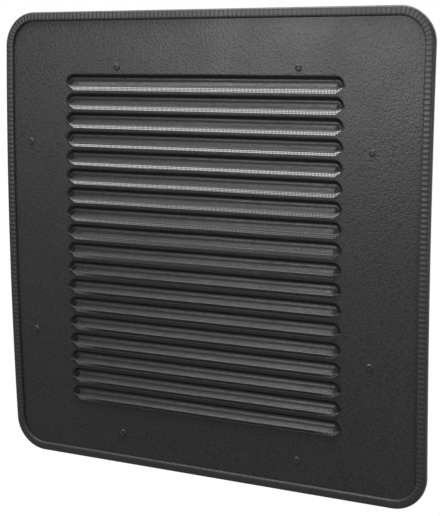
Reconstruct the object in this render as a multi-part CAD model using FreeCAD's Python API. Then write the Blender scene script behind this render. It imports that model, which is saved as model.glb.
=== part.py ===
import FreeCAD, Part
import math
import os

from FreeCAD import Vector

# Louvred vent panel for a vehicle window: a bowed plastic sheet with formed louvres, a clip-on
# edge trim all round and an insect screen held on the back by four riveted strips.
# Millimetres. +Z is up, the outside of the vehicle is towards -Y, +X is to the right seen from
# outside. The origin is the middle of the trim's bottom edge.

# Sheet
panel_width = 450.0
panel_height = 450.0
corner_radius = 33.0
bow_height = 6.5
sheet_thickness = 2.0

# Edge trim, a U section pressed over the sheet's edge
trim_face_width = 9.0
trim_thickness = 7.0
trim_web = 3.0
trim_nose_chamfer = 1.5
trim_lip_chamfer = 0.7
trim_clearance = 0.1

# Plain sheet left round the louvres, measured from the panel's edges
field_left_margin = 71.8
field_right_margin = 83.2
field_top_margin = 60.5
field_bottom_margin = 60.0

# Louvres, each a trough pressed inwards that rises to a lip standing out over a slit
louvre_pitch = 18.44
slit_height = 3.4
sill_height = 2.74
trough_depth = 3.5
trough_wall_drop = 3.0
trough_floor_height = 1.7
lip_projection = 2.8
lip_face_height = 0.9
end_facets = 3

# Insect screen, drawn over the backs of the louvres
screen_thickness = 0.4
screen_clearance = 0.2
screen_gap_columns = 6
screen_gap_rows = 6
screen_thread_width = 3.0
screen_hem = 4.0
screen_edge_inset = 1.0

# Retaining strips, each named by the side of the louvres that it is on
strip_width = 10.0
strip_thickness = 2.5
strip_end_gap = 0.5
strip_gap_above_field = 0.8
strip_gap_below_field = 22.9
strip_gap_left_of_field = 37.0
strip_gap_right_of_field = 23.5

# Rivets, two through each strip
rivet_from_corner = 129.0
rivet_pair_shift = 1.5
rivet_head_diameter = 7.0
rivet_head_height = 1.5
rivet_shank_diameter = 3.2
rivet_tail_diameter = 5.6
rivet_tail_height = 1.3
rivet_hole_clearance = 0.1
rivet_sides = 12

# Gap left between pieces that are clamped face to face
seat_clearance = 0.05

# How far a cutting tool runs past the face that it cuts
overrun = 3.0

# A quarter and a full turn, in degrees
quarter_turn = 90
full_turn = 360

# Corners nearer to each other than this are one corner
same_place = 0.001

# The bowed sheet
half_width = panel_width / 2
middle_height = panel_height / 2
bow_radius = middle_height ** 2 / (2 * bow_height) + bow_height / 2
bow_axis_depth = bow_radius - bow_height
sheet_front = -sheet_thickness / 2
sheet_back = sheet_thickness / 2
layer_reach = bow_radius * math.asin((middle_height + overrun) / bow_radius)
tool_half_depth = bow_height + trim_thickness + trough_depth + overrun

# The field of louvres
louvre_height = louvre_pitch - slit_height - sill_height
louvre_width = panel_width - field_left_margin - field_right_margin
louvre_count = int((panel_height - field_top_margin - field_bottom_margin + sill_height) / louvre_pitch)
field_shift = (field_left_margin - field_right_margin) / 2
first_lip_above_middle = middle_height - field_top_margin - louvre_height
last_lip_above_middle = first_lip_above_middle - (louvre_count - 1) * louvre_pitch
lip_front = sheet_front - lip_projection
trough_floor = sheet_front + trough_depth
row_bottom = -slit_height - sill_height / 2


def unit(a, b):
    length = math.hypot(b[0] - a[0], b[1] - a[1])
    return ((b[0] - a[0]) / length, (b[1] - a[1]) / length)


def section_face(corners):
    """A flat face across the louvre, from its corners as depth and height."""
    points = [Vector(0, y, z) for y, z in corners]
    return Part.Face(Part.makePolygon(points + [points[0]]))


def bowed_band(front_depth, back_depth, bottom, top):
    """A band of the bow between two depths behind the sheet's middle, wider than the panel.

    Its bottom and top are measured along the bow from the panel's middle.
    """
    arcs = []
    for depth in (front_depth, back_depth):
        radius = bow_radius - depth
        points = []
        for along in (bottom, (bottom + top) / 2, top):
            y = bow_axis_depth - radius * math.cos(along / bow_radius)
            z = middle_height + radius * math.sin(along / bow_radius)
            points.append(Vector(-half_width - overrun, y, z))
        arcs.append(Part.Arc(*points).toShape())
    front, back = arcs
    bottom_edge = Part.makeLine(back.Vertexes[0].Point, front.Vertexes[0].Point)
    top_edge = Part.makeLine(front.Vertexes[1].Point, back.Vertexes[1].Point)
    wire = Part.Wire([front, top_edge, back, bottom_edge])
    return Part.Face(wire).extrude(Vector(panel_width + 2 * overrun, 0, 0))


def bowed_layer(front_depth, back_depth):
    return bowed_band(front_depth, back_depth, -layer_reach, layer_reach)


def through_block(left, right, bottom, top):
    """A block that runs right through the panel, with sharp corners."""
    corner = Vector(left, -tool_half_depth, bottom)
    return Part.makeBox(right - left, 2 * tool_half_depth, top - bottom, corner)


def panel_block(inset):
    """A block with the panel's outline, drawn in by the same distance on every side."""
    reach = half_width - inset
    block = through_block(-reach, reach, inset, panel_height - inset)
    upright = [edge for edge in block.Edges if edge.BoundBox.YLength > tool_half_depth]
    return block.makeFillet(corner_radius - inset, upright)


def turned_on_bow(shape, above_middle):
    """Moves a shape along the bow by turning it about the bow's axis."""
    turned = shape.copy()
    turn = -math.degrees(above_middle / bow_radius)
    turned.rotate(Vector(0, bow_axis_depth, middle_height), Vector(1, 0, 0), turn)
    return turned


def on_bow(shape, x, above_middle):
    """Moves a shape drawn about the sheet's middle point to its place on the bowed sheet."""
    placed = shape.copy()
    placed.translate(Vector(x, -bow_height, middle_height))
    return turned_on_bow(placed, above_middle)


def height_on_bow(above_middle):
    return middle_height + bow_radius * math.sin(above_middle / bow_radius)


def offset_line(start, end, distance):
    """A line moved to the back of the sheet by a wall's thickness."""
    along = unit(start, end)
    normal = (-along[1], along[0])
    shift = (normal[0] * distance, normal[1] * distance)
    return (start[0] + shift[0], start[1] + shift[1]), along


def line_at_depth(line, y):
    (y0, z0), (dy, dz) = line
    return z0 + (y - y0) * dz / dy


def line_at_height(line, z):
    (y0, z0), (dy, dz) = line
    return y0 + (z - z0) * dy / dz


def crossing(first, second):
    (y1, z1), (dy1, dz1) = first
    (y2, z2), (dy2, dz2) = second
    run = ((y2 - y1) * dz2 - (z2 - z1) * dy2) / (dy1 * dz2 - dz1 * dy2)
    return (y1 + dy1 * run, z1 + dz1 * run)


# One louvre's section: the front of its sheet goes from crease to trough to lip
crease = (sheet_front, louvre_height)
floor_top = (trough_floor, louvre_height - trough_wall_drop)
floor_bottom = (trough_floor, louvre_height - trough_wall_drop - trough_floor_height)
lip_top = (lip_front, lip_face_height)
lip_bottom = (lip_front, 0.0)
wall_front = (crease, unit(crease, floor_top))
slope_front = (floor_bottom, unit(floor_bottom, lip_top))
wall_back = offset_line(crease, floor_top, sheet_thickness)
floor_back = offset_line(floor_top, floor_bottom, sheet_thickness)
slope_back = offset_line(floor_bottom, lip_top, sheet_thickness)

# The height at which the slope passes the sheet's own level, and the round ends about it
neutral_height = line_at_depth(slope_front, sheet_front)
end_radius = louvre_height - neutral_height
straight_half = louvre_width / 2 - end_radius

# Where the strips lie round the field, from the panel's middle to the middle of each strip
strip_front = sheet_back + screen_thickness + 2 * seat_clearance
trough_back_top = line_at_depth(wall_back, sheet_back)
field_back_top = first_lip_above_middle + trough_back_top
top_strip_above_middle = field_back_top + strip_gap_above_field + strip_width / 2
field_bottom = last_lip_above_middle - slit_height
bottom_strip_above_middle = field_bottom - strip_gap_below_field - strip_width / 2
left_strip_x = field_shift - louvre_width / 2 - strip_gap_left_of_field - strip_width / 2
right_strip_x = field_shift + louvre_width / 2 + strip_gap_right_of_field + strip_width / 2


def flat_face(points):
    """A flat face on an outline, or nothing where too few of its corners lie apart."""
    corners = []
    for index, point in enumerate(points):
        if point.distanceToPoint(points[index - 1]) > same_place:
            corners.append(point)
    if len(corners) < 3:
        return None
    return Part.Face(Part.makePolygon(corners + [corners[0]]))


def solid_between(first, second):
    """A solid with flat sides between two outlines that have equally many corners."""
    faces = [flat_face(first), flat_face(second)]
    for index, corner in enumerate(first):
        faces.append(flat_face([first[index - 1], corner, second[index], second[index - 1]]))
    return Part.makeSolid(Part.makeShell([face for face in faces if face]))


def turned_at_end(corners, side, turn):
    """A section's corners turned about the louvre's end, on the left for side -1."""
    angle = math.radians(turn)
    points = []
    for y, z in corners:
        reach = z - neutral_height
        x = side * (straight_half + reach * math.sin(angle))
        points.append(Vector(x, y, neutral_height + reach * math.cos(angle)))
    return points


def swept_round_ends(corners, end_corners):
    """Runs a section along the louvre and turns it a quarter round at each end, in flat facets."""
    straight = section_face(corners).extrude(Vector(2 * straight_half, 0, 0))
    straight.translate(Vector(-straight_half, 0, 0))
    solids = [straight]
    facet_turn = quarter_turn / end_facets
    for side in (-1, 1):
        for facet in range(end_facets):
            start = turned_at_end(end_corners, side, facet * facet_turn)
            stop = turned_at_end(end_corners, side, (facet + 1) * facet_turn)
            solids.append(solid_between(start, stop))
    return solids


def trough_tool():
    """The hollow pressed into the front, cut from the crease down to the sheet's own level."""
    mouth = sheet_front - overrun
    mouth_top = (mouth, line_at_depth(wall_front, mouth))
    mouth_bottom = (mouth, neutral_height)
    slope_end = (sheet_front, neutral_height)
    corners = [mouth_top, floor_top, floor_bottom, slope_end, mouth_bottom]
    return swept_round_ends(corners, corners)


def trough_skin():
    """The back of the trough, one sheet thickness behind the hollow, with closed ends."""
    top = (0.0, line_at_depth(wall_back, 0.0))
    back_corners = [crossing(wall_back, floor_back), crossing(floor_back, slope_back)]
    end_root = (line_at_height(slope_back, neutral_height), neutral_height)
    corners = [(0.0, line_at_depth(slope_back, 0.0)), top] + back_corners
    end_corners = [(0.0, neutral_height), top] + back_corners + [end_root]
    solids = swept_round_ends(corners, end_corners)
    for side in (-1, 1):
        ledge_top = turned_at_end(end_corners, side, quarter_turn)
        ledge_bottom = [point - Vector(0, 0, sheet_thickness) for point in ledge_top]
        solids.append(solid_between(ledge_top, ledge_bottom))
    return solids


def lip_hood():
    """The part of the slope that stands out in front, with ends that run out to a point."""
    corners = [(sheet_front, neutral_height), lip_top, lip_bottom, (0.0, 0.0), (0.0, neutral_height)]
    straight = section_face(corners).extrude(Vector(2 * straight_half, 0, 0))
    straight.translate(Vector(-straight_half, 0, 0))
    solids = [straight]
    for side in (-1, 1):
        base = [Vector(side * straight_half, y, z) for y, z in corners]
        tip = Vector(side * (straight_half + end_radius), sheet_front / 2, neutral_height)
        solids.append(solid_between(base, [tip] * len(base)))
    return solids


def slit_tool():
    """The open slit under the lip, with the hollow behind the lip's slope."""
    outside = lip_front - overrun
    inside = sheet_back + overrun
    corners = [
        (outside, 0.0),
        (line_at_height(slope_back, 0.0), 0.0),
        (inside, line_at_depth(slope_back, inside)),
        (inside, -slit_height),
        (outside, -slit_height),
    ]
    section = section_face(corners)
    section.translate(Vector(-straight_half, 0, 0))
    return [section.extrude(Vector(2 * straight_half, 0, 0))]


def louvre_row():
    """A band of the sheet one pitch high with its louvre formed in it, at the panel's middle."""
    band = bowed_band(sheet_front, sheet_back, row_bottom, row_bottom + louvre_pitch)
    added = [on_bow(solid, field_shift, 0) for solid in trough_skin() + lip_hood()]
    tools = [on_bow(solid, field_shift, 0) for solid in trough_tool() + slit_tool()]
    return band.multiFuse(added).cut(tools).removeSplitter()


def rivet_places():
    """Where each rivet goes: name, distance along X and distance above the middle."""
    along_width = half_width - rivet_from_corner
    along_height = middle_height - rivet_from_corner
    places = []
    for side, way in (("left", -1), ("right", 1)):
        x = rivet_pair_shift + way * along_width
        places.append(("rivet_top_" + side, x, top_strip_above_middle))
        places.append(("rivet_bottom_" + side, x, bottom_strip_above_middle))
    for end, way in (("lower", -1), ("upper", 1)):
        above_middle = rivet_pair_shift + way * along_height
        places.append(("rivet_left_" + end, left_strip_x, above_middle))
        places.append(("rivet_right_" + end, right_strip_x, above_middle))
    return places


def round_bar(diameter, front, back):
    """A bar along Y between two depths, drawn with few sides because it is small and repeats."""
    points = []
    for index in range(rivet_sides):
        angle = math.radians(index * full_turn / rivet_sides)
        points.append(Vector(diameter / 2 * math.cos(angle), front, diameter / 2 * math.sin(angle)))
    face = Part.Face(Part.makePolygon(points + [points[0]]))
    return face.extrude(Vector(0, back - front, 0))


def rivet_holes():
    hole = round_bar(rivet_shank_diameter + 2 * rivet_hole_clearance, -tool_half_depth, tool_half_depth)
    return [on_bow(hole, x, above_middle) for name, x, above_middle in rivet_places()]


def louvre_panel(holes):
    """The rows stacked along the bow between two plain bands, cut to the panel's outline."""
    row = louvre_row()
    field_bottom_edge = last_lip_above_middle + row_bottom
    field_top_edge = first_lip_above_middle + row_bottom + louvre_pitch
    bands = [
        bowed_band(sheet_front, sheet_back, -layer_reach, field_bottom_edge),
        bowed_band(sheet_front, sheet_back, field_top_edge, layer_reach),
    ]
    for index in range(louvre_count):
        bands.append(turned_on_bow(row, first_lip_above_middle - index * louvre_pitch))
    sheet = bands[0].multiFuse(bands[1:])
    return sheet.common(panel_block(trim_web + trim_clearance)).cut(holes).removeSplitter()


def long_edges(shape, inset):
    """The edges that run along the trim, as far as they stay this far inside the panel's outline."""
    reach_x = half_width - inset
    reach_z = middle_height - inset
    found = []
    for edge in shape.Edges:
        box = edge.BoundBox
        inside_x = max(box.XMax, -box.XMin) < reach_x
        inside_z = max(box.ZMax - middle_height, middle_height - box.ZMin) < reach_z
        if inside_x and inside_z and edge.Length > 2 * trim_thickness:
            found.append(edge)
    return found


def edge_trim():
    half = trim_thickness / 2
    groove_half = sheet_thickness / 2 + trim_clearance
    block = bowed_layer(-half, half).common(panel_block(0))
    block = block.makeChamfer(trim_nose_chamfer, long_edges(block, -overrun))
    ring = block.cut(panel_block(trim_face_width))
    ring = ring.makeChamfer(trim_lip_chamfer, long_edges(ring, trim_face_width / 2))
    groove = bowed_layer(-groove_half, groove_half).common(panel_block(trim_web))
    return ring.cut(groove)


def strip_box(name):
    """The outline of one strip: left, right, bottom, top. The side strips fit between the others."""
    half = strip_width / 2
    top = height_on_bow(top_strip_above_middle)
    bottom = height_on_bow(bottom_strip_above_middle)
    if name == "top":
        return left_strip_x - half, right_strip_x + half, top - half, top + half
    if name == "bottom":
        return left_strip_x - half, right_strip_x + half, bottom - half, bottom + half
    across = left_strip_x if name == "left" else right_strip_x
    end_gap = half + strip_end_gap
    return across - half, across + half, bottom + end_gap, top - end_gap


def screen_front_depth():
    """The screen lies just behind the backs of the troughs."""
    reach = max(solid.BoundBox.YMax for solid in trough_skin())
    return reach + screen_clearance


def inside_strips(inset):
    """The space between the four strips, drawn in by one distance from their inner edges."""
    reach = strip_width / 2 + inset
    bottom = height_on_bow(bottom_strip_above_middle) + reach
    top = height_on_bow(top_strip_above_middle) - reach
    return left_strip_x + reach, right_strip_x - reach, bottom, top


def screen_gaps():
    """The open cells between the screen's drawn threads."""
    left, right, bottom, top = inside_strips(seat_clearance + screen_thickness + screen_hem)
    column_pitch = (right - left + screen_thread_width) / screen_gap_columns
    row_pitch = (top - bottom + screen_thread_width) / screen_gap_rows
    gap_width = column_pitch - screen_thread_width
    gap_height = row_pitch - screen_thread_width
    gaps = []
    for column in range(screen_gap_columns):
        for row in range(screen_gap_rows):
            x = left + column * column_pitch
            z = bottom + row * row_pitch
            gaps.append(through_block(x, x + gap_width, z, z + gap_height))
    return gaps


def insect_screen(holes):
    """A hem clamped under the strips, a step back and the field behind the troughs."""
    hem_front = sheet_back + seat_clearance
    field_front = screen_front_depth()
    field_back = field_front + screen_thickness
    outline = through_block(*inside_strips(screen_edge_inset - strip_width))
    step_outside = through_block(*inside_strips(seat_clearance))
    step_inside = through_block(*inside_strips(seat_clearance + screen_thickness))
    hem = bowed_layer(hem_front, hem_front + screen_thickness).common(outline)
    step = bowed_layer(hem_front, field_back).common(step_outside)
    hollow = bowed_layer(hem_front - overrun, field_front).common(step_inside)
    return hem.fuse(step).cut([hollow] + screen_gaps() + holes).removeSplitter()


def retaining_strip(name, holes):
    front = strip_front
    layer = bowed_layer(front, front + strip_thickness)
    return layer.common(through_block(*strip_box(name))).cut(holes)


def rivet():
    """A flat head on the front, a shank through the stack and a flat tail on the strip."""
    tail_front = strip_front + strip_thickness + seat_clearance
    head = round_bar(rivet_head_diameter, sheet_front - rivet_head_height, sheet_front)
    shank = round_bar(rivet_shank_diameter, sheet_front, tail_front)
    tail = round_bar(rivet_tail_diameter, tail_front, tail_front + rivet_tail_height)
    return head.multiFuse([shank, tail])


def build():
    holes = rivet_holes()
    pieces = {
        "louvre_panel": louvre_panel(holes),
        "edge_trim": edge_trim(),
        "insect_screen": insect_screen(holes),
    }
    for name in ("top", "bottom", "left", "right"):
        pieces["screen_strip_" + name] = retaining_strip(name, holes)
    for name, x, above_middle in rivet_places():
        pieces[name] = on_bow(rivet(), x, above_middle)
    return pieces


os.makedirs("parts", exist_ok=True)
for name, shape in build().items():
    solid = shape.Solids[0] if len(shape.Solids) == 1 else shape
    solid.exportStep("parts/" + name + ".step")
    print(name, len(shape.Solids), shape.isValid(), round(shape.Volume, 1))
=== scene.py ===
import math
import bpy
from mathutils import Matrix, Vector


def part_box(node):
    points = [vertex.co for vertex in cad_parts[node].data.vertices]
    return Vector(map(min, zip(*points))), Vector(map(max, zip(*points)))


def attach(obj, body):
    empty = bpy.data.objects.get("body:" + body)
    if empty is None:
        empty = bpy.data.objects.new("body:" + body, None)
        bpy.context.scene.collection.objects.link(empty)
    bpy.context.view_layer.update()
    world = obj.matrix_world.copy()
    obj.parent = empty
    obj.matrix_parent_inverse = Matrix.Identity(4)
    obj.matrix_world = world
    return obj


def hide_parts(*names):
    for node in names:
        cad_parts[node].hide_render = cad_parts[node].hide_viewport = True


# Louvred vent panel for a vehicle window, with its edge trim, insect screen, strips and rivets.
# Metres, in the part's own frame: +Z up, the outside towards -Y, origin under the bottom edge.
# Each piece is made flat, as X, depth behind the sheet's middle and height above the panel's
# middle, and is then laid on the bow by the same node group.

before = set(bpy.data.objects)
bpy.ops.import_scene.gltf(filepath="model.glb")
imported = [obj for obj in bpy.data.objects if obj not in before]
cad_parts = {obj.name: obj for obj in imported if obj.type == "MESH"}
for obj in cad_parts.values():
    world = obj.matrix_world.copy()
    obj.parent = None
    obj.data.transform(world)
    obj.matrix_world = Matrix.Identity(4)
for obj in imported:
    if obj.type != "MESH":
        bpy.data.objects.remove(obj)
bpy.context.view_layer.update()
print("frame loaded")

mm = 0.001
sheet = {
    "width": 0.450,
    "height": 0.450,
    "bowHeight": 0.0065,
    "thickness": 0.0020,
    "cornerRadius": 0.0299,
    "edgeInset": 0.0031,  # the sheet's edge stands this far inside the trim's outline
    "edgeBlend": 0.007,  # columns up to this far inside a corner's start draw in with the corner
    # rows of the bands above and below the louvres, closer together round a corner
    "bandHeights": (0.172, 0.182, 0.192, 0.198, 0.204, 0.209, 0.213, 0.2165, 0.219, 0.2207, 0.2217),
}
middleHeight = sheet["height"] / 2
bowRadius = middleHeight ** 2 / (2 * sheet["bowHeight"]) + sheet["bowHeight"] / 2
bowAxisDepth = bowRadius - sheet["bowHeight"]
sheetFront = -sheet["thickness"] / 2


# Node helpers

def addNode(tree, kind, values=None, **settings):
    node = tree.nodes.new(kind)
    for key, value in settings.items():
        setattr(node, key, value)
    for key, value in (values or {}).items():
        socket = node.inputs[key]
        if isinstance(value, bpy.types.NodeSocket):
            tree.links.new(value, socket)
        else:
            socket.default_value = value
    return node


def addMath(tree, operation, first, second=0.0, third=0.0):
    return addNode(tree, "ShaderNodeMath", {0: first, 1: second, 2: third}, operation=operation).outputs[0]


def addScaled(tree, vector, scale):
    return addNode(tree, "ShaderNodeVectorMath", {0: vector, "Scale": scale}, operation="SCALE").outputs[0]


def addMix(tree, share, first, second):
    return addNode(tree, "ShaderNodeMix", {0: share, 2: first, 3: second}, data_type="FLOAT").outputs[0]


def addRange(tree, value, fromLow, fromHigh, low, high, curve="LINEAR"):
    return addNode(tree, "ShaderNodeMapRange", {
        "Value": value, "From Min": fromLow, "From Max": fromHigh, "To Min": low, "To Max": high},
        interpolation_type=curve, clamp=True).outputs[0]


def joinParts(tree, parts):
    return addNode(tree, "ShaderNodeCombineXYZ", parts).outputs[0]


def splitParts(tree, vector):
    return addNode(tree, "ShaderNodeSeparateXYZ", {0: vector}).outputs


def newGeometryTree(name, inputs):
    tree = bpy.data.node_groups.new(name, "GeometryNodeTree")
    tree.interface.new_socket("Geometry", in_out="OUTPUT", socket_type="NodeSocketGeometry")
    tree.interface.new_socket("Geometry", in_out="INPUT", socket_type="NodeSocketGeometry")
    for label, kind, value in inputs:
        socket = tree.interface.new_socket(label, in_out="INPUT", socket_type="NodeSocket" + kind)
        if value is not None:
            socket.default_value = value
    start = tree.nodes.new("NodeGroupInput")
    end = tree.nodes.new("NodeGroupOutput")
    return tree, start.outputs, end.inputs["Geometry"]


def pointPlace(tree):
    return addNode(tree, "GeometryNodeInputPosition").outputs[0]


def movedTo(tree, geometry, place):
    return addNode(tree, "GeometryNodeSetPosition", {"Geometry": geometry, "Position": place}).outputs[0]


def movedBy(tree, geometry, offset):
    return addNode(tree, "GeometryNodeSetPosition", {"Geometry": geometry, "Offset": offset}).outputs[0]


def makeWrapOnBow():
    tree, start, end = newGeometryTree("wrapOnBow", [
        ("Bow Radius", "Float", bowRadius),
        ("Axis Depth", "Float", bowAxisDepth),
        ("Middle Height", "Float", middleHeight),
    ])
    flat = splitParts(tree, pointPlace(tree))
    angle = addMath(tree, "DIVIDE", flat["Z"], start["Bow Radius"])
    reach = addMath(tree, "SUBTRACT", start["Bow Radius"], flat["Y"])
    back = addMath(tree, "MULTIPLY", reach, addMath(tree, "COSINE", angle))
    rise = addMath(tree, "MULTIPLY", reach, addMath(tree, "SINE", angle))
    depth = addMath(tree, "SUBTRACT", start["Axis Depth"], back)
    height = addMath(tree, "ADD", start["Middle Height"], rise)
    bowed = joinParts(tree, {"X": flat["X"], "Y": depth, "Z": height})
    tree.links.new(movedTo(tree, start["Geometry"], bowed), end)
    return tree


wrapOnBow = makeWrapOnBow()


def finishTree(tree, geometry, material, end):  # lays the flat piece on the bow and paints it
    group = addNode(tree, "GeometryNodeGroup", node_tree=wrapOnBow)
    tree.links.new(geometry, group.inputs["Geometry"])
    smooth = addNode(tree, "GeometryNodeSetShadeSmooth", {"Geometry": group.outputs["Geometry"]})
    realized = addNode(tree, "GeometryNodeRealizeInstances", {"Geometry": smooth.outputs[0]})
    painted = addNode(tree, "GeometryNodeSetMaterial", {
        "Geometry": realized.outputs[0], "Material": material})
    tree.links.new(painted.outputs[0], end)


# Mesh helpers

def spread(first, last, count):
    return [first + (last - first) * index / count for index in range(count + 1)]


def newObject(name, vertices, faces=(), edges=()):
    mesh = bpy.data.meshes.new(name)
    mesh.from_pydata(vertices, edges, faces)
    mesh.update()
    piece = bpy.data.objects.new(name, mesh)
    bpy.context.scene.collection.objects.link(piece)
    return piece


def runTree(piece, tree, values):
    modifier = piece.modifiers.new("build", "NODES")
    modifier.node_group = tree
    for item in tree.interface.items_tree:
        if item.item_type == "SOCKET" and item.in_out == "INPUT" and item.name in values:
            modifier[item.identifier] = values[item.name]
    graph = bpy.context.evaluated_depsgraph_get()
    graph.update()
    made = bpy.data.meshes.new_from_object(piece.evaluated_get(graph))
    piece.modifiers.clear()
    piece.data = made


def finishPiece(piece, nodes, sharpAngle=40):
    piece.data.set_sharp_from_angle(angle=math.radians(sharpAngle))
    piece.data.name = piece.name
    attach(piece, "root")
    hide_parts(*nodes)
    triangles = sum(len(face.vertices) - 2 for face in piece.data.polygons)
    print(piece.name, "made,", triangles, "triangles")
    return piece


# A sheet with a front and a back. Walls close its edges and openings, but not the rows in seams.

def sheetMesh(name, columns, rows, point, isOpen, seams):
    corners = [point(x, height, behind) for behind in (False, True) for height in rows for x in columns]
    wide, high = len(columns), len(rows)
    kept = {(i, j) for i in range(wide - 1) for j in range(high - 1) if not isOpen(i, j)}
    faces = []
    for i, j in sorted(kept):
        ring = [(i, j), (i + 1, j), (i + 1, j + 1), (i, j + 1)]
        front = [row * wide + column for column, row in ring]
        back = [number + wide * high for number in front]
        faces.append(front)
        faces.append(back[::-1])
        for side, neighbour in enumerate(((i, j - 1), (i + 1, j), (i, j + 1), (i - 1, j))):
            if neighbour not in kept and neighbour[1] not in seams:
                after = (side + 1) % 4
                faces.append([front[after], front[side], back[side], back[after]])
    used = sorted({number for face in faces for number in face})
    fresh = {number: index for index, number in enumerate(used)}
    renumbered = [[fresh[number] for number in face] for face in faces]
    return newObject(name, [corners[number] for number in used], renumbered)


def neverOpen(column, row):
    return False


# Shader groups

grain = {
    "pebble": 0.0019,
    "bend": 0.0009,  # how far the pebbles' outlines wander
    "smoothness": 0.35,
    "roundness": 1.6,
    "fineShare": 0.35,
    "finer": 2.2,  # the fine grain is this many times smaller than a pebble
    "depth": 0.00026,
    "strength": 0.45,
    # painted highlight on the pebbles' crowns and painted shade in their gaps, as shares of the colour
    "crownPaintedHighlight": 1.3,
    "gapPaintedShade": 0.5,
    "paintedShadeReach": 0.8,  # at this share of a pebble from its crown, the painted shade is the gap's
}
wear = {
    "patch": 0.06,
    "noiseLow": 0.3,
    "noiseHigh": 0.7,
}


def newShaderGroup(name, inputs, outputs):
    group = bpy.data.node_groups.new(name, "ShaderNodeTree")
    for label, value in inputs:
        socket = group.interface.new_socket(label, in_out="INPUT", socket_type="NodeSocketFloat")
        socket.default_value = value
    for label in outputs:
        group.interface.new_socket(label, in_out="OUTPUT", socket_type="NodeSocketFloat")
    return group, group.nodes.new("NodeGroupInput").outputs, group.nodes.new("NodeGroupOutput").inputs


def makePebbleGrain():
    group, start, end = newShaderGroup("pebbleGrain", [
        ("Pebble Size", grain["pebble"]),
        ("Fine Share", grain["fineShare"]),
    ], ["Height", "Mask"])
    place = addNode(group, "ShaderNodeTexCoord").outputs["Object"]
    perMetre = addMath(group, "DIVIDE", 1.0, start["Pebble Size"])
    finePerMetre = addMath(group, "MULTIPLY", perMetre, grain["finer"])
    wander = addNode(group, "ShaderNodeTexNoise", {"Vector": place, "Scale": perMetre, "Detail": 1.0})
    shift = addScaled(group, wander.outputs["Color"], grain["bend"])
    bent = addNode(group, "ShaderNodeVectorMath", {0: place, 1: shift}, operation="ADD").outputs[0]
    cells = addNode(group, "ShaderNodeTexVoronoi", {
        "Vector": bent, "Scale": perMetre, "Smoothness": grain["smoothness"]}, feature="SMOOTH_F1")
    fromCrown = cells.outputs["Distance"]
    fine = addNode(group, "ShaderNodeTexNoise", {"Vector": place, "Scale": finePerMetre, "Detail": 2.0})
    fineHeight = addMath(group, "MULTIPLY", fine.outputs["Fac"], start["Fine Share"])
    rounded = addMath(group, "SUBTRACT", 1.0, addMath(group, "POWER", fromCrown, grain["roundness"]))
    group.links.new(addMath(group, "ADD", rounded, fineHeight), end["Height"])
    group.links.new(fromCrown, end["Mask"])
    return group


def makeSoftWear():
    group, start, end = newShaderGroup("softWear", [
        ("Patch Size", wear["patch"]),
        ("Low", 0.9),
        ("High", 1.1),
    ], ["Factor"])
    place = addNode(group, "ShaderNodeTexCoord").outputs["Object"]
    scaled = addScaled(group, place, addMath(group, "DIVIDE", 1.0, start["Patch Size"]))
    noise = addNode(group, "ShaderNodeTexNoise", {"Vector": scaled, "Scale": 1.0, "Detail": 3.0})
    patches = noise.outputs["Fac"]
    factor = addRange(group, patches, wear["noiseLow"], wear["noiseHigh"], start["Low"], start["High"])
    group.links.new(factor, end["Factor"])
    return group


pebbleGrain = makePebbleGrain()
softWear = makeSoftWear()


# Materials

finishes = {  # wear is the share by which the roughness rises and falls
    "panelPlastic": {"colour": (0.040, 0.0385, 0.0425), "roughness": 0.36, "specular": 0.15, "wear": 0.1},
    "trimRubber": {"colour": (0.027, 0.0265, 0.0285), "roughness": 0.42, "specular": 0.2, "wear": 0.1},
    "screenThread": {"colour": (0.030, 0.030, 0.031), "roughness": 0.60, "specular": 0.15, "wear": 0.1},
    "stripPlastic": {"colour": (0.026, 0.026, 0.027), "roughness": 0.50, "specular": 0.2, "wear": 0.1},
    "rivetCoating": {"colour": (0.034, 0.033, 0.036), "roughness": 0.40, "specular": 0.2, "wear": 0.1},
}


def makeMaterial(name):
    finish = finishes[name]
    material = bpy.data.materials.new(name)
    material.use_nodes = True
    tree = material.node_tree
    surface = tree.nodes["Principled BSDF"].inputs
    surface["Base Color"].default_value = (*finish["colour"], 1.0)
    surface["Specular IOR Level"].default_value = finish["specular"]
    patches = addNode(tree, "ShaderNodeGroup", {
        "Low": 1 - finish["wear"], "High": 1 + finish["wear"]}, node_tree=softWear)
    roughness = addMath(tree, "MULTIPLY", patches.outputs["Factor"], finish["roughness"])
    tree.links.new(roughness, surface["Roughness"])
    return material


def addPebbles(material):  # the panel's leather grain as bumps, with a painted highlight on the crowns and painted shade in the gaps
    tree = material.node_tree
    surface = tree.nodes["Principled BSDF"].inputs
    pebbles = addNode(tree, "ShaderNodeGroup", {"Pebble Size": grain["pebble"]}, node_tree=pebbleGrain)
    bump = addNode(tree, "ShaderNodeBump", {
        "Height": pebbles.outputs["Height"], "Strength": grain["strength"], "Distance": grain["depth"]})
    tree.links.new(bump.outputs[0], surface["Normal"])
    fromCrown = pebbles.outputs["Mask"]
    # painted highlight and shade: the colour is lightened on the crowns and darkened in the gaps
    paintedShading = addRange(tree, fromCrown, 0.0, grain["paintedShadeReach"], grain["crownPaintedHighlight"], grain["gapPaintedShade"])
    paintedShadeColour = addScaled(tree, finishes[material.name]["colour"], paintedShading)
    tree.links.new(paintedShadeColour, surface["Base Color"])


materials = {name: makeMaterial(name) for name in finishes}
addPebbles(materials["panelPlastic"])
print("materials made")


# Louvred panel

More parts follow.
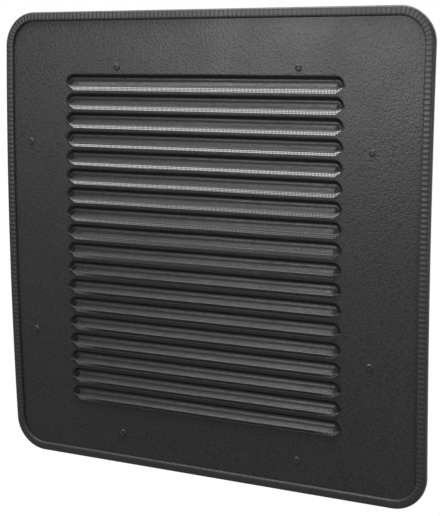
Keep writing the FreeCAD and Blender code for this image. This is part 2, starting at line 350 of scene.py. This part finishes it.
louvre = {
    "pitch": 18.44 * mm,
    "count": 18,
    "firstLip": 152.2 * mm,  # the top louvre's lip, above the panel's middle
    "fieldShift": -5.7 * mm,
    "halfStraight": 139.6 * mm,
    "endLength": 8.8 * mm,
    "blendOut": 12 * mm,  # past the end, the rows even out over this length
    "leastHood": 0.04,  # share of the hood's height that is left at its tip
    "ledge": 1.1 * mm,
    "crease": 12.6 * mm,  # heights in one louvre, from its lip's edge
    "wallFoot": 8.7 * mm,
    "lipTop": 0.4 * mm,
    "underLip": -0.15 * mm,
    "sillEdge": -3.4 * mm,
    "sillFoot": -3.6 * mm,
    "rowBottom": -4.77 * mm,
    "noseRadius": 0.9 * mm,
    "troughDepth": 3.5 * mm,
    "lipProjection": 2.75 * mm,
    "slopeBend": 2.2,
}
louvreSteps = {  # where the mesh has its rows and columns
    "nose": (0.03, 0.12, 0.3, 0.55, 0.9),  # heights, in mm
    "slope": (1.4, 2.1, 2.9, 3.8, 4.7, 5.6, 6.5, 7.3),
    "foot": (8.0, 8.4, 8.8, 9.2),
    "wall": (9.7, 10.2, 10.7, 11.2, 11.7, 12.2),
    "behind": 40,  # points tried to find the back of the wall
    "field": 30,
    "end": 12,
    "open": 8,  # the slit runs this many of the end's columns into each end
    "side": 6,
    "sideGap": 2 * mm,
    "weld": 0.01 * mm,
}
waves = {  # formed plastic is never quite straight
    "depth": 0.0003,
    "seed": 4.0,
    "perMetre": (14.0, 0.0, 55.0),
    "upShare": 2.0,  # rows wander this many times as much up and down as in and out
    "full": 0.14,  # from the field's middle to where the waves start to fade, and to where they end
    "gone": 0.17,
}


def neutralHeight():  # where the slope passes the plain front
    fall = louvre["wallFoot"] - louvre["lipTop"]
    share = louvre["troughDepth"] / (louvre["troughDepth"] + louvre["lipProjection"])
    return louvre["wallFoot"] - fall * share ** (1 / louvre["slopeBend"])


neutral = neutralHeight()


def louvreFront(height):  # how far the formed front lies behind the plain front
    if height >= louvre["crease"]:
        return 0.0
    if height >= louvre["wallFoot"]:
        turn = math.pi * (louvre["crease"] - height) / (louvre["crease"] - louvre["wallFoot"])
        return louvre["troughDepth"] * (1 - math.cos(turn)) / 2
    along = min(1.0, (louvre["wallFoot"] - height) / (louvre["wallFoot"] - louvre["lipTop"]))
    rise = (louvre["troughDepth"] + louvre["lipProjection"]) * along ** louvre["slopeBend"]
    depth = louvre["troughDepth"] - rise
    radius = louvre["noseRadius"]
    if height < radius:
        depth += radius - math.sqrt(max(0.0, radius ** 2 - (radius - height) ** 2))
    return depth


def louvreBack(height):  # the same for the back, which keeps one wall's distance from the front
    wall = sheet["thickness"]
    nearby = [at for at in spread(height - wall, height + wall, louvreSteps["behind"]) if at >= 0]
    reach = [louvreFront(at) + math.sqrt(max(0.0, wall ** 2 - (at - height) ** 2)) for at in nearby]
    return max(reach) - wall


# Above the neutral height, a louvre's section is turned round its end. Below it, the hood and
# the slit draw together towards the neutral height, and leave a ledge that follows the turn.

def rowPoint(x, height, behind):  # x from the field's middle, height from the lip's edge
    depthAt = louvreBack if behind else louvreFront
    past = max(0.0, abs(x) - louvre["halfStraight"])
    share = min(1.0, past / louvre["endLength"])
    outward = past * (louvre["crease"] - neutral) / louvre["endLength"]
    place = height
    depth = 0.0
    if neutral <= height <= louvre["crease"]:
        depth = depthAt(neutral + math.hypot(outward, height - neutral))
    elif louvre["sillEdge"] <= height < neutral:
        place = neutral - (neutral - height) * max(louvre["leastHood"], 1 - share)
        if height >= 0:
            ledge = max(0.0, 1 - (neutral - height) / louvre["ledge"])
            depth = (1 - share) * depthAt(height) + ledge * depthAt(neutral + outward)
    if share == 1.0:
        mix = min(1.0, (past - louvre["endLength"]) / louvre["blendOut"])
        place = place * (1 - mix) + height * mix
    return x + louvre["fieldShift"], (-sheetFront if behind else sheetFront) + depth, place


rowHeights = [louvre[name] for name in ("rowBottom", "sillFoot", "sillEdge", "underLip")] + [0.0]
for part in ("nose", "slope", "foot", "wall"):
    rowHeights += [height * mm for height in louvreSteps[part]]
rowHeights += [louvre["crease"], louvre["pitch"] + louvre["rowBottom"]]
slitRows = range(rowHeights.index(louvre["sillEdge"]), rowHeights.index(0.0))

sheetHalf = sheet["width"] / 2 - sheet["edgeInset"]
straightColumns = spread(-louvre["halfStraight"], louvre["halfStraight"], louvreSteps["field"])
endTip = louvre["halfStraight"] + louvre["endLength"]
endColumns = spread(louvre["halfStraight"], endTip, louvreSteps["end"])
sideStart = endTip + louvreSteps["sideGap"]
leftColumns = spread(-sheetHalf - louvre["fieldShift"], -sideStart, louvreSteps["side"])
rightColumns = spread(sideStart, sheetHalf - louvre["fieldShift"], louvreSteps["side"])
leftEnd = [-x for x in endColumns[:0:-1]]
panelColumns = leftColumns + leftEnd + straightColumns + endColumns[1:] + rightColumns
firstOpen = panelColumns.index(straightColumns[0]) - louvreSteps["open"]
lastOpen = panelColumns.index(straightColumns[-1]) + louvreSteps["open"]


def slitIsOpen(column, row):
    return firstOpen <= column < lastOpen and row in slitRows


def bandPoint(x, height, behind):  # plain bands above and below the louvres, with rounded corners
    x += louvre["fieldShift"]
    radius = sheet["cornerRadius"]
    straight = sheetHalf - radius
    over = max(0.0, abs(height) - straight)
    half = straight + math.sqrt(max(0.0, radius ** 2 - over ** 2))
    start = straight - sheet["edgeBlend"]
    if abs(x) > start:
        x = math.copysign(start + (abs(x) - start) * (half - start) / (sheetHalf - start), x)
    return x, -sheetFront if behind else sheetFront, height


def makeBand(name, seam, way):  # way is 1 above the louvres and -1 below them
    heights = sorted([seam] + [way * height for height in sheet["bandHeights"]])
    seamRow = -1 if way == 1 else len(heights) - 1
    return sheetMesh(name, panelColumns, heights, bandPoint, neverOpen, (seamRow,))


def makePanelTree():
    tree, start, end = newGeometryTree("louvrePanelTree", [
        ("Row", "Object", None),
        ("Row Count", "Int", louvre["count"]),
        ("Row Pitch", "Float", louvre["pitch"]),
        ("First Lip", "Float", louvre["firstLip"]),
        ("Waviness", "Float", waves["depth"]),
        ("Seed", "Float", waves["seed"]),
        ("Material", "Material", None),
    ])
    first = joinParts(tree, {"Z": start["First Lip"]})
    down = joinParts(tree, {"Z": addMath(tree, "MULTIPLY", start["Row Pitch"], -1.0)})
    places = addNode(tree, "GeometryNodeMeshLine", {
        "Count": start["Row Count"], "Start Location": first, "Offset": down}, mode="OFFSET")
    row = addNode(tree, "GeometryNodeObjectInfo", {"Object": start["Row"]}).outputs["Geometry"]
    rows = addNode(tree, "GeometryNodeInstanceOnPoints", {"Points": places.outputs[0], "Instance": row})
    realized = addNode(tree, "GeometryNodeRealizeInstances", {"Geometry": rows.outputs[0]})
    joined = addNode(tree, "GeometryNodeJoinGeometry")
    tree.links.new(realized.outputs[0], joined.inputs[0])
    tree.links.new(start["Geometry"], joined.inputs[0])
    merged = addNode(tree, "GeometryNodeMergeByDistance", {
        "Geometry": joined.outputs[0], "Distance": louvreSteps["weld"]})
    place = pointPlace(tree)
    stretched = addNode(tree, "ShaderNodeVectorMath", {
        0: place, 1: waves["perMetre"]}, operation="MULTIPLY")
    noise = addNode(tree, "ShaderNodeTexNoise", {
        "Vector": stretched.outputs[0], "W": start["Seed"], "Scale": 1.0, "Detail": 1.0},
        noise_dimensions="4D")
    fromMiddle = addMath(tree, "SUBTRACT", splitParts(tree, place)["X"], louvre["fieldShift"])
    fromMiddle = addMath(tree, "ABSOLUTE", fromMiddle)
    inField = addRange(tree, fromMiddle, waves["full"], waves["gone"], 1.0, 0.0)
    colour = splitParts(tree, noise.outputs["Color"])
    amount = addMath(tree, "MULTIPLY", start["Waviness"], inField)
    inward = addMath(tree, "MULTIPLY", amount, colour["X"])
    along = addMath(tree, "MULTIPLY", amount, addMath(tree, "SUBTRACT", colour["Y"], 0.5))
    upward = addMath(tree, "MULTIPLY", along, waves["upShare"])
    waved = movedBy(tree, merged.outputs[0], joinParts(tree, {"Y": inward, "Z": upward}))
    finishTree(tree, waved, start["Material"], end)
    return tree


def joinObjects(name, objects):
    vertices, faces = [], []
    for each in objects:
        base = len(vertices)
        vertices += [tuple(vertex.co) for vertex in each.data.vertices]
        faces += [[base + number for number in face.vertices] for face in each.data.polygons]
        bpy.data.objects.remove(each)
    return newObject(name, vertices, faces)


def makePanel():
    topRow = len(rowHeights) - 1
    unit = sheetMesh("louvreRow", panelColumns, rowHeights, rowPoint, slitIsOpen, (-1, topRow))
    lastLip = louvre["firstLip"] - (louvre["count"] - 1) * louvre["pitch"]
    panel = joinObjects("louvrePanel", [
        makeBand("upperBand", louvre["firstLip"] + rowHeights[-1], 1),
        makeBand("lowerBand", lastLip + rowHeights[0], -1),
    ])
    runTree(panel, makePanelTree(), {"Row": unit, "Material": materials["panelPlastic"]})
    bpy.data.objects.remove(unit)
    return finishPiece(panel, ["louvre_panel"])


louvrePanel = makePanel()


# Edge trim

trim = {
    "ribs": 379,
    "ringsPerRib": 6,
    "ribDepth": 0.00024,
    "ribSharpness": 2.5,
    "pathHalf": 0.2248,
    "cornerRadius": 0.0328,
    "cornerSteps": 24,
    "sharpAngle": 50,
}
trimFace = [  # distance in from the outline, distance from the middle, share of the ribs; in mm
    (0.00, 1.3, 0.0), (0.22, 2.2, 0.1), (0.75, 2.95, 0.5), (1.5, 3.38, 0.9), (2.4, 3.5, 1.0),
    (4.0, 3.5, 1.0), (6.0, 3.5, 1.0), (7.6, 3.45, 1.0), (8.35, 3.2, 0.8), (8.8, 2.6, 0.3),
    (9.0, 1.9, 0.0), (9.0, 1.06, 0.0), (6.0, 1.06, 0.0), (3.05, 1.06, 0.0)]
frontOnly = trimFace[5:7]  # two more points across the flat that is seen


def trimSection():  # the nose's middle, the front half, and the back half as its mirror
    front = [(inward, -depth, share) for inward, depth, share in trimFace]
    back = [corner for corner in trimFace[::-1] if corner not in frontOnly]
    return [(0.0, 0.0, 0.0)] + front + back


def makeTrimTree():
    tree, start, end = newGeometryTree("edgeTrimTree", [
        ("Path Half", "Float", trim["pathHalf"]),
        ("Corner Radius", "Float", trim["cornerRadius"]),
        ("Rib Count", "Int", trim["ribs"]),
        ("Rings Per Rib", "Int", trim["ringsPerRib"]),
        ("Rib Depth", "Float", trim["ribDepth"]),
        ("Material", "Material", None),
    ])
    size = addMath(tree, "MULTIPLY", start["Path Half"], 2.0)
    outline = addNode(tree, "GeometryNodeCurvePrimitiveQuadrilateral", {"Width": size, "Height": size})
    rounded = addNode(tree, "GeometryNodeFilletCurve", {
        "Curve": outline.outputs[0], "Radius": start["Corner Radius"], "Count": trim["cornerSteps"]},
        mode="POLY")
    rings = addMath(tree, "MULTIPLY", start["Rib Count"], start["Rings Per Rib"])
    path = addNode(tree, "GeometryNodeResampleCurve", {
        "Curve": rounded.outputs[0], "Count": rings}, mode="COUNT")
    number = addNode(tree, "GeometryNodeInputIndex").outputs[0]
    phase = addMath(tree, "DIVIDE", number, start["Rings Per Rib"])
    turn = addMath(tree, "MULTIPLY", phase, 2 * math.pi)
    wave = addMath(tree, "MULTIPLY_ADD", addMath(tree, "COSINE", turn), 0.5, 0.5)
    valley = addMath(tree, "POWER", wave, trim["ribSharpness"])
    marked = addNode(tree, "GeometryNodeStoreNamedAttribute", {
        "Geometry": path.outputs[0], "Name": "ribValley", "Value": valley},
        data_type="FLOAT", domain="POINT")
    level = addNode(tree, "GeometryNodeSetCurveNormal", {"Curve": marked.outputs[0]}, mode="Z_UP")
    section = addNode(tree, "GeometryNodeMeshToCurve", {"Mesh": start["Geometry"]})
    swept = addNode(tree, "GeometryNodeCurveToMesh", {
        "Curve": level.outputs[0], "Profile Curve": section.outputs[0]})
    valleyHere, shareHere = [
        addNode(tree, "GeometryNodeInputNamedAttribute", {"Name": name}, data_type="FLOAT").outputs[0]
        for name in ("ribValley", "ribShare")]
    sunk = addMath(tree, "MULTIPLY", addMath(tree, "MULTIPLY", valleyHere, shareHere), start["Rib Depth"])
    facing = addNode(tree, "GeometryNodeInputNormal").outputs[0]
    offset = addScaled(tree, facing, addMath(tree, "MULTIPLY", sunk, -1.0))
    ribbed = movedBy(tree, swept.outputs[0], offset)
    flat = splitParts(tree, pointPlace(tree))
    depth = addMath(tree, "MULTIPLY", flat["Z"], -1.0)
    upright = movedTo(tree, ribbed, joinParts(tree, {"X": flat["X"], "Y": depth, "Z": flat["Y"]}))
    finishTree(tree, upright, start["Material"], end)
    return tree


def makeTrim():
    section = trimSection()
    corners = [(-inward * mm, depth * mm, 0.0) for inward, depth, share in section]
    edges = [(index, (index + 1) % len(corners)) for index in range(len(corners))]
    piece = newObject("edgeTrim", corners, edges=edges)
    shares = piece.data.attributes.new("ribShare", "FLOAT", "POINT")
    shares.data.foreach_set("value", [share for inward, depth, share in section])
    runTree(piece, makeTrimTree(), {"Material": materials["trimRubber"]})
    return finishPiece(piece, ["edge_trim"], trim["sharpAngle"])


edgeTrim = makeTrim()


# Insect screen

screen = {
    "left": -0.1992,
    "right": 0.1743,
    "bottom": -0.1966,
    "top": 0.1750,
    "pitch": 0.0014,
    "uprightThread": 0.00035,
    "levelThread": 0.00024,
    "threadSides": 3,
    "hemDepth": 0.00125,
    "fieldDepth": 0.0049,
    "hemWidth": 0.0105,
    "stepWidth": 0.0015,
    "bendSteps": 20,  # pieces of an upright thread that follow the bow
    "sharpAngle": 89,
}
stripNodes = {side: "screen_strip_" + side.lower() for side in ("Top", "Bottom", "Left", "Right")}


def screenDepth(x, height):
    fromSide = min(x - screen["left"], screen["right"] - x)
    fromEdge = min(fromSide, height - screen["bottom"], screen["top"] - height)
    share = min(1.0, max(0.0, (fromEdge - screen["hemWidth"]) / screen["stepWidth"]))
    return screen["hemDepth"] + share * (screen["fieldDepth"] - screen["hemDepth"])


def threadLine(name, alongX):  # one thread across the screen's middle, with its two steps
    low, high = (screen["left"], screen["right"]) if alongX else (screen["bottom"], screen["top"])
    steps = [0.0, screen["hemWidth"], screen["hemWidth"] + screen["stepWidth"]]
    inner = spread(low + steps[-1], high - steps[-1], 1 if alongX else screen["bendSteps"])
    places = [low + step for step in steps[:-1]] + inner + [high - step for step in steps[-2::-1]]
    if alongX:
        points = [(place, screenDepth(place, 0), 0) for place in places]
    else:
        points = [(0, screenDepth(0, place), place) for place in places]
    return newObject(name, points, edges=[(index, index + 1) for index in range(len(points) - 1)])


def addThreads(tree, start, line, axis, ends, radius):  # one thread's line, repeated from end to end
    ring = addNode(tree, "GeometryNodeCurvePrimitiveCircle", {
        "Resolution": screen["threadSides"], "Radius": start[radius]}, mode="RADIUS")
    curve = addNode(tree, "GeometryNodeMeshToCurve", {"Mesh": line})
    tube = addNode(tree, "GeometryNodeCurveToMesh", {
        "Curve": curve.outputs[0], "Profile Curve": ring.outputs[0], "Fill Caps": True})
    low, high = [start[end] for end in ends]
    length = addMath(tree, "SUBTRACT", high, low)
    count = addMath(tree, "ROUND", addMath(tree, "DIVIDE", length, start["Pitch"]))
    first = joinParts(tree, {axis: low})
    last = joinParts(tree, {axis: high})
    places = addNode(tree, "GeometryNodeMeshLine", {
        "Count": count, "Start Location": first, "Offset": last}, mode="END_POINTS")
    threads = addNode(tree, "GeometryNodeInstanceOnPoints", {
        "Points": places.outputs[0], "Instance": tube.outputs[0]})
    return threads.outputs[0]


def makeScreenTree():
    tree, start, end = newGeometryTree("insectScreenTree", [
        ("Upright Thread", "Object", None),
        ("Upright Radius", "Float", screen["uprightThread"]),
        ("Level Radius", "Float", screen["levelThread"]),
        ("Pitch", "Float", screen["pitch"]),
        ("Left", "Float", screen["left"]),
        ("Right", "Float", screen["right"]),
        ("Bottom", "Float", screen["bottom"]),
        ("Top", "Float", screen["top"]),
        ("Hem Width", "Float", screen["hemWidth"]),
        ("Hem Depth", "Float", screen["hemDepth"]),
        ("Material", "Material", None),
    ])
    upright = addNode(tree, "GeometryNodeObjectInfo", {"Object": start["Upright Thread"]})
    joined = addNode(tree, "GeometryNodeJoinGeometry")
    levelThreads = addThreads(tree, start, start["Geometry"], "Z", ("Bottom", "Top"), "Level Radius")
    tree.links.new(levelThreads, joined.inputs[0])
    uprightLine = upright.outputs["Geometry"]
    uprightThreads = addThreads(tree, start, uprightLine, "X", ("Left", "Right"), "Upright Radius")
    tree.links.new(uprightThreads, joined.inputs[0])
    realized = addNode(tree, "GeometryNodeRealizeInstances", {"Geometry": joined.outputs[0]})
    flat = splitParts(tree, pointPlace(tree))
    fromLeft = addMath(tree, "SUBTRACT", flat["X"], start["Left"])
    fromRight = addMath(tree, "SUBTRACT", start["Right"], flat["X"])
    fromBottom = addMath(tree, "SUBTRACT", flat["Z"], start["Bottom"])
    fromTop = addMath(tree, "SUBTRACT", start["Top"], flat["Z"])
    fromSide = addMath(tree, "MINIMUM", fromLeft, fromRight)
    fromEdge = addMath(tree, "MINIMUM", fromSide, addMath(tree, "MINIMUM", fromBottom, fromTop))
    inHem = addMath(tree, "LESS_THAN", fromEdge, start["Hem Width"])
    depth = addMix(tree, inHem, flat["Y"], start["Hem Depth"])
    pressed = joinParts(tree, {"X": flat["X"], "Y": depth, "Z": flat["Z"]})
    finishTree(tree, movedTo(tree, realized.outputs[0], pressed), start["Material"], end)
    return tree


def makeScreen():
    piece = threadLine("insectScreen", True)
    upright = threadLine("uprightThread", False)
    runTree(piece, makeScreenTree(), {"Upright Thread": upright, "Material": materials["screenThread"]})
    bpy.data.objects.remove(upright)
    return finishPiece(piece, ["insect_screen"], screen["sharpAngle"])


insectScreen = makeScreen()


# Retaining strips

strips = {
    "front": 0.0015,
    "thickness": 0.0025,
    "uprightSteps": 24,  # pieces of a strip that follow the bow
    "levelSteps": 2,
    "bevel": 0.0005,
    "bevelSteps": 2,
    "bevelAngle": 60,
}


def makeStripTree():
    tree, start, end = newGeometryTree("stripTree", [("Material", "Material", None)])
    finishTree(tree, start["Geometry"], start["Material"], end)
    return tree


stripTree = makeStripTree()


def heightOnFlat(z):
    return bowRadius * math.asin((z - middleHeight) / bowRadius)


def stripPoint(x, height, behind):
    return x, strips["front"] + (strips["thickness"] if behind else 0.0), height


def makeStrip(side):
    low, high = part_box(stripNodes[side])
    steps = strips["uprightSteps" if side in ("Left", "Right") else "levelSteps"]
    heights = spread(heightOnFlat(low.z), heightOnFlat(high.z), steps)
    piece = sheetMesh("screenStrip" + side, [low.x, high.x], heights, stripPoint, neverOpen, ())
    runTree(piece, stripTree, {"Material": materials["stripPlastic"]})
    bevel = piece.modifiers.new("softEdge", "BEVEL")
    bevel.width = strips["bevel"]
    bevel.segments = strips["bevelSteps"]
    bevel.angle_limit = math.radians(strips["bevelAngle"])
    return finishPiece(piece, [stripNodes[side]])


screenStrips = [makeStrip(side) for side in stripNodes]


# Rivets

rivets = {
    "headRadius": 0.0034,
    "headHeight": 0.0013,
    "pitRadius": 0.0018,
    "pitDepth": 0.0011,
    "pitFloor": 0.75,  # the pit's flat floor, as a share of its radius
    "shankRadius": 0.0016,
    "tailRadius": 0.0028,
    "tailHeight": 0.0013,
    "holdDepth": 0.00405,
    "sides": 24,
    "headSteps": 7,
    "tailSteps": 5,
}
rivetNodes = ["rivet_" + place for place in (
    "top_left", "top_right", "bottom_left", "bottom_right",
    "left_lower", "left_upper", "right_lower", "right_upper")]


def rivetSection():  # radius and depth, from the head's crown to the tail's crown
    head, tall = rivets["headRadius"], rivets["headHeight"]
    pit, shank = rivets["pitRadius"], rivets["shankRadius"]
    tail, deep, hold = rivets["tailRadius"], rivets["tailHeight"], rivets["holdDepth"]
    pitBottom = sheetFront - tall + rivets["pitDepth"]
    section = [(0.0, pitBottom), (pit * rivets["pitFloor"], pitBottom)]
    for angle in spread(math.asin(pit / head), math.pi / 2, rivets["headSteps"]):
        section.append((head * math.sin(angle), sheetFront - tall * math.cos(angle)))
    section += [(shank, sheetFront), (shank, hold)]
    for angle in spread(math.pi / 2, 0.0, rivets["tailSteps"]):
        section.append((tail * math.sin(angle), hold + deep * math.cos(angle)))
    return section


def turnedObject(name, section, sides):
    vertices = [(0.0, section[0][1], 0.0)]
    for radius, depth in section[1:-1]:
        for index in range(sides):
            angle = 2 * math.pi * index / sides
            vertices.append((radius * math.cos(angle), depth, radius * math.sin(angle)))
    vertices.append((0.0, section[-1][1], 0.0))
    rings = len(section) - 2
    faces = []
    for index in range(sides):
        after = (index + 1) % sides
        faces.append((0, 1 + index, 1 + after))
        for ring in range(rings - 1):
            base = 1 + ring * sides
            faces.append((base + index, base + sides + index, base + sides + after, base + after))
        base = 1 + (rings - 1) * sides
        faces.append((base + index, len(vertices) - 1, base + after))
    return newObject(name, vertices, faces)


def makeRivetTree():
    tree, start, end = newGeometryTree("rivetsTree", [
        ("Rivet", "Object", None),
        ("Material", "Material", None),
    ])
    rivet = addNode(tree, "GeometryNodeObjectInfo", {"Object": start["Rivet"]}).outputs["Geometry"]
    placed = addNode(tree, "GeometryNodeInstanceOnPoints", {
        "Points": start["Geometry"], "Instance": rivet})
    realized = addNode(tree, "GeometryNodeRealizeInstances", {"Geometry": placed.outputs[0]})
    finishTree(tree, realized.outputs[0], start["Material"], end)
    return tree


def makeRivets():
    middles = [(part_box(node)[0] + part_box(node)[1]) / 2 for node in rivetNodes]
    piece = newObject("rivets", [(middle.x, 0.0, heightOnFlat(middle.z)) for middle in middles])
    unit = turnedObject("rivetUnit", rivetSection(), rivets["sides"])
    runTree(piece, makeRivetTree(), {"Rivet": unit, "Material": materials["rivetCoating"]})
    bpy.data.objects.remove(unit)
    return finishPiece(piece, rivetNodes)


allRivets = makeRivets()


# Floor, light and camera

studio = {
    "floorSize": 60.0,
    "floorColour": (0.4, 0.4, 0.4),
    "floorWhite": 1.0,
    "worldStrength": 0.07,
    "target": Vector((0.0, -0.0065, 0.225)),
}
shadow = {  # a painted shadow of the panel, which runs back from the panel over the floor
    "angle": 28.0,  # degrees to the left
    "half": 0.185,
    "spread": 0.16,  # it widens, and its edge softens, by these shares of the distance
    "edge": 0.09,
    "edgeSpread": 0.06,
    "leastEdge": 0.02,
    "start": 0.08,
    "full": 0.9,
    "end": 3.2,
}
lamps = {  # azimuth 0 is in front and 90 on the right
    "topLamp": {"azimuth": -55, "elevation": 74, "distance": 1.8, "size": 1.0, "power": 80},
    "glossLamp": {"azimuth": -20, "elevation": 15, "distance": 2.0, "size": 0.7, "power": 33},
    "rightLamp": {"azimuth": 66, "elevation": 4, "distance": 0.9, "size": 0.3, "power": 3.0},
    "backLamp": {"azimuth": 160, "elevation": 42, "distance": 1.6, "size": 0.8, "power": 16},
}
view = {
    "lens": 90.886,
    "sensor": 36.0,
    "place": Vector((0.58915, -1.07301, 0.41557)),
    "forward": Vector((-0.46547, 0.87040, -0.16042)),
    "right": Vector((0.88217, 0.47091, -0.00463)),
    "up": Vector((-0.07151, 0.14367, 0.98704)),
}


def makePaintedShadowZone(tree):  # painted shadow: 1 in a wedge behind the panel where the floor's white is taken out so it shows dark, 0 where it is plain white
    place = addNode(tree, "ShaderNodeTexCoord").outputs["Object"]
    turned = addNode(tree, "ShaderNodeVectorRotate", {
        "Vector": place, "Angle": -math.radians(shadow["angle"])}, rotation_type="Z_AXIS").outputs[0]
    zone = splitParts(tree, turned)
    half = addMath(tree, "MULTIPLY_ADD", zone["Y"], shadow["spread"], shadow["half"])
    beside = addMath(tree, "SUBTRACT", addMath(tree, "ABSOLUTE", zone["X"]), half)
    edge = addMath(tree, "MULTIPLY_ADD", zone["Y"], shadow["edgeSpread"], shadow["edge"])
    edge = addMath(tree, "MAXIMUM", edge, shadow["leastEdge"])
    inside = addMath(tree, "MULTIPLY", edge, -1.0)
    across = addRange(tree, beside, inside, 0.0, 1.0, 0.0, "SMOOTHSTEP")
    along = addRange(tree, zone["Y"], shadow["full"], shadow["end"], 1.0, 0.0, "SMOOTHSTEP")
    straight = splitParts(tree, place)["Y"]
    behind = addRange(tree, straight, 0.0, shadow["start"], 0.0, 1.0, "SMOOTHSTEP")
    return addMath(tree, "MULTIPLY", addMath(tree, "MULTIPLY", across, along), behind)


def raysThatSee(tree):  # 1 for rays that show the background as it is, 0 for those that light by it
    rays = addNode(tree, "ShaderNodeLightPath").outputs
    indirect = addMath(tree, "MAXIMUM", rays["Is Glossy Ray"], rays["Is Transmission Ray"])
    return addMath(tree, "MAXIMUM", rays["Is Camera Ray"], indirect)


def makeFloor():
    half = studio["floorSize"] / 2
    corners = [(-half, -half, 0), (half, -half, 0), (half, half, 0), (-half, half, 0)]
    floor = newObject("studioFloor", corners, [(0, 1, 2, 3)])
    material = bpy.data.materials.new("studioFloor")
    material.use_nodes = True
    tree = material.node_tree
    surface = tree.nodes["Principled BSDF"].inputs
    surface["Base Color"].default_value = (*studio["floorColour"], 1.0)
    surface["Roughness"].default_value = 1.0
    surface["Specular IOR Level"].default_value = 0.0
    surface["Emission Color"].default_value = (1.0, 1.0, 1.0, 1.0)
    # the floor's white is taken out where the painted shadow lies, so only the world's dim light shows
    # there
    clear = addMath(tree, "SUBTRACT", 1.0, makePaintedShadowZone(tree))
    shown = addMath(tree, "MULTIPLY", raysThatSee(tree), clear)
    tree.links.new(addMath(tree, "MULTIPLY", shown, studio["floorWhite"]), surface["Emission Strength"])
    floor.data.materials.append(material)


def makeWorld():
    world = bpy.data.worlds.new("studioWorld")
    world.use_nodes = True
    tree = world.node_tree
    background = tree.nodes["Background"].inputs
    background["Color"].default_value = (1.0, 1.0, 1.0, 1.0)
    strength = addMix(tree, raysThatSee(tree), studio["worldStrength"], 1.0)
    tree.links.new(strength, background["Strength"])
    bpy.context.scene.world = world


def addLamp(name, azimuth, elevation, distance, size, power):
    data = bpy.data.lights.new(name, "AREA")
    data.shape = "SQUARE"
    data.size = size
    data.energy = power
    lamp = bpy.data.objects.new(name, data)
    bpy.context.scene.collection.objects.link(lamp)
    turn, rise = math.radians(azimuth), math.radians(elevation)
    way = Vector((math.sin(turn) * math.cos(rise), -math.cos(turn) * math.cos(rise), math.sin(rise)))
    lamp.location = studio["target"] + way * distance
    lamp.rotation_euler = way.to_track_quat("Z", "Y").to_euler()
    return lamp


def makeLamps(pieces):
    panelOnly = bpy.data.collections.new("panelOnly")
    for piece in pieces:
        panelOnly.objects.link(piece)
    for name, settings in lamps.items():
        lamp = addLamp(name, **settings)
        if name == "glossLamp":  # gives the gloss along the top, and no other light
            lamp.visible_diffuse = False
        else:
            lamp.light_linking.receiver_collection = panelOnly


def makeCamera():
    data = bpy.data.cameras.new("photoCamera")
    data.lens = view["lens"]
    data.sensor_width = view["sensor"]
    camera = bpy.data.objects.new("photoCamera", data)
    bpy.context.scene.collection.objects.link(camera)
    turn = Matrix((view["right"], view["up"], -view["forward"])).transposed()
    camera.matrix_world = Matrix.LocRotScale(view["place"], turn.to_quaternion(), None)
    bpy.context.scene.camera = camera


makeFloor()
makeWorld()
makeLamps([louvrePanel, edgeTrim, insectScreen, allRivets] + screenStrips)
makeCamera()
bpy.context.scene.view_settings.view_transform = "Standard"
print("studio made")
